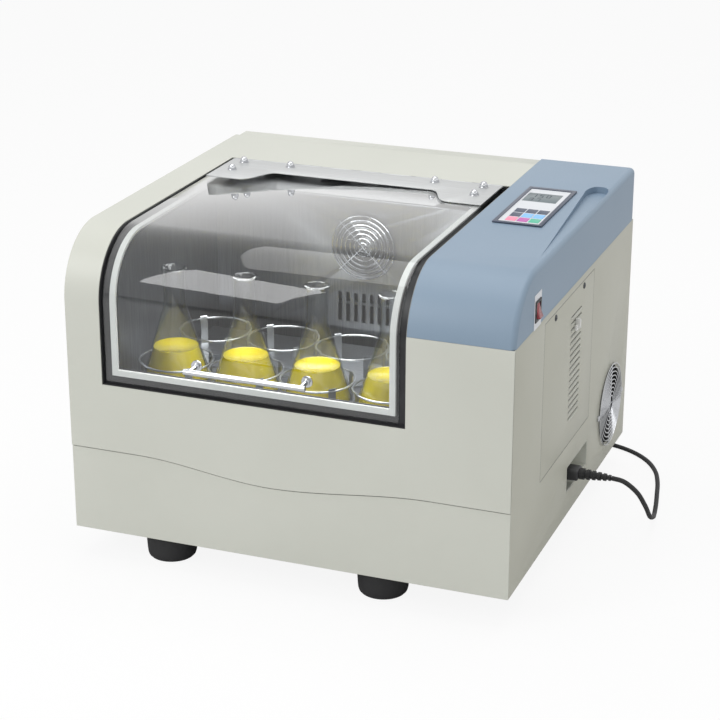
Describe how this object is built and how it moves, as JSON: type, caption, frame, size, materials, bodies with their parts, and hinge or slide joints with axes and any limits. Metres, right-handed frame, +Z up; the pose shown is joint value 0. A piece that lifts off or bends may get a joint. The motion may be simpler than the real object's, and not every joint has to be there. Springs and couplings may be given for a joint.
{
  "type": "orbital shaker",
  "caption": "Benchtop heated orbital shaker with a curved clear lid over a flask platform, a keypad cover, side fan guard and mains inlet.",
  "frame": {"origin": "on the bench under the middle of the shaker's bounding box, without its cord", "axes": "+X to the operator's right, +Y to the rear, +Z up"},
  "size_m": [0.7503, 0.776, 0.4796],
  "materials": {
    "cream_paint": "satin powder coat",
    "blue_cover": "fine texture",
    "stainless": "brushed",
    "chrome": "polished",
    "cast_iron": "painted",
    "black_plastic": "moulded",
    "rubber": "matt",
    "seal": "matt",
    "keypad": "printed film",
    "key_dark": "printed film",
    "key_blue": "printed film",
    "key_pink": "printed film",
    "key_magenta": "printed film",
    "key_green": "printed film",
    "board": "lacquered",
    "red_plastic": "gloss",
    "clear_lid": "clear, polished",
    "flask_glass": "clear"
  },
  "bodies": {
    "housing": {"base_plate": "cast_iron", "foot_front_left": "rubber", "foot_front_right": "rubber", "foot_rear_left": "rubber", "foot_rear_right": "rubber", "lower_front_panel": "cream_paint", "upper_cover": "cream_paint", "left_side_panel": "cream_paint", "right_side_panel": "cream_paint", "rear_cover": "cream_paint", "control_cover": "blue_cover", "keypad_face": "keypad", "display_board": "board", "switch_housing": "black_plastic", "service_panel": "cream_paint", "side_fan_frame": "black_plastic", "side_fan_guard": "chrome", "inlet_recess": "cream_paint", "power_inlet": "black_plastic", "cord_connector": "black_plastic", "power_cord": "rubber", "cord_coil": "rubber", "mains_plug": "black_plastic", "opening_frame": "black_plastic", "hinge_leaf": "stainless", "chamber_liner": "stainless", "chamber_rear_wall": "stainless", "circulation_motor": "cast_iron", "air_heater": "stainless", "bearing_housing": "cast_iron", "drive_motor": "cast_iron", "drive_belt": "rubber"},
    "lid": {"lid_shell": "clear_lid", "lid_seal": "seal", "hinge_strip": "stainless", "lid_handle": "chrome"},
    "rocker": {"switch_rocker": "red_plastic"},
    "side_fan": {"side_fan_rotor": "black_plastic"},
    "circulation_fan": {"circulation_rotor": "stainless"},
    "crank": {"drive_crank": "cast_iron"},
    "idler_left": {"idler_crank_left": "cast_iron"},
    "idler_right": {"idler_crank_right": "cast_iron"},
    "motor_shaft": {"motor_pulley": "stainless"},
    "platform": {"platform_plate": "stainless", "clamp_row_front": "stainless", "clamp_row_flasks": "stainless", "clamp_row_rear": "stainless", "flask_1": "flask_glass", "flask_2": "flask_glass", "flask_3": "flask_glass", "flask_4": "flask_glass"},
    "key_1_1_cap": {"key_1_1": "key_dark"},
    "key_1_2_cap": {"key_1_2": "key_dark"},
    "key_1_3_cap": {"key_1_3": "key_dark"},
    "key_2_1_cap": {"key_2_1": "key_dark"},
    "key_2_2_cap": {"key_2_2": "key_blue"},
    "key_2_3_cap": {"key_2_3": "key_blue"},
    "key_3_1_cap": {"key_3_1": "key_pink"},
    "key_3_2_cap": {"key_3_2": "key_magenta"},
    "key_3_3_cap": {"key_3_3": "key_green"}
  },
  "joints": [
    {"name": "lid_hinge", "type": "hinge", "parent": "housing", "child": "lid", "pos_m": [-0.0032, 0.1495, 0.4757], "axis": [-1, 0, 0], "range_deg": [0, 75]},
    {"name": "crank_spin", "type": "hinge", "parent": "housing", "child": "crank", "pos_m": [-0.0632, -0.0025, 0.06], "axis": [0, 0, 1], "continuous": true},
    {"name": "platform_turn", "type": "hinge", "parent": "crank", "child": "platform", "pos_m": [-0.0732, -0.0025, 0.165], "axis": [0, 0, 1], "continuous": true},
    {"name": "idler_left_spin", "type": "hinge", "parent": "housing", "child": "idler_left", "pos_m": [-0.2232, -0.1675, 0.14], "axis": [0, 0, 1], "continuous": true},
    {"name": "idler_right_spin", "type": "hinge", "parent": "housing", "child": "idler_right", "pos_m": [0.0768, -0.1675, 0.14], "axis": [0, 0, 1], "continuous": true},
    {"name": "motor_spin", "type": "hinge", "parent": "housing", "child": "motor_shaft", "pos_m": [0.0768, 0.1075, 0.1], "axis": [0, 0, 1], "continuous": true},
    {"name": "circulation_fan_spin", "type": "hinge", "parent": "housing", "child": "circulation_fan", "pos_m": [-0.0632, 0.2075, 0.352], "axis": [0, 1, 0], "continuous": true},
    {"name": "side_fan_spin", "type": "hinge", "parent": "housing", "child": "side_fan", "pos_m": [0.2968, 0.2225, 0.131], "axis": [1, 0, 0], "continuous": true},
    {"name": "power_rocker", "type": "hinge", "parent": "housing", "child": "rocker", "pos_m": [0.3148, -0.1945, 0.419], "axis": [0, 1, 0], "range_deg": [0, 14]},
    {"name": "key_1_1_press", "type": "slide", "parent": "housing", "child": "key_1_1_cap", "axis": [0, 0, -1], "range_m": [0, 0.0006], "stiffness_N_per_m": 1200},
    {"name": "key_1_2_press", "type": "slide", "parent": "housing", "child": "key_1_2_cap", "axis": [0, 0, -1], "range_m": [0, 0.0006], "stiffness_N_per_m": 1200},
    {"name": "key_1_3_press", "type": "slide", "parent": "housing", "child": "key_1_3_cap", "axis": [0, 0, -1], "range_m": [0, 0.0006], "stiffness_N_per_m": 1200},
    {"name": "key_2_1_press", "type": "slide", "parent": "housing", "child": "key_2_1_cap", "axis": [0, 0, -1], "range_m": [0, 0.0006], "stiffness_N_per_m": 1200},
    {"name": "key_2_2_press", "type": "slide", "parent": "housing", "child": "key_2_2_cap", "axis": [0, 0, -1], "range_m": [0, 0.0006], "stiffness_N_per_m": 1200},
    {"name": "key_2_3_press", "type": "slide", "parent": "housing", "child": "key_2_3_cap", "axis": [0, 0, -1], "range_m": [0, 0.0006], "stiffness_N_per_m": 1200},
    {"name": "key_3_1_press", "type": "slide", "parent": "housing", "child": "key_3_1_cap", "axis": [0, 0, -1], "range_m": [0, 0.0006], "stiffness_N_per_m": 1200},
    {"name": "key_3_2_press", "type": "slide", "parent": "housing", "child": "key_3_2_cap", "axis": [0, 0, -1], "range_m": [0, 0.0006], "stiffness_N_per_m": 1200},
    {"name": "key_3_3_press", "type": "slide", "parent": "housing", "child": "key_3_3_cap", "axis": [0, 0, -1], "range_m": [0, 0.0006], "stiffness_N_per_m": 1200}
  ],
  "couplings": [
    {"joint": "platform_turn", "follows": "crank_spin", "ratio": -1},
    {"joint": "idler_left_spin", "follows": "crank_spin", "ratio": 1},
    {"joint": "idler_right_spin", "follows": "crank_spin", "ratio": 1},
    {"joint": "motor_spin", "follows": "crank_spin", "ratio": 4}
  ]
}
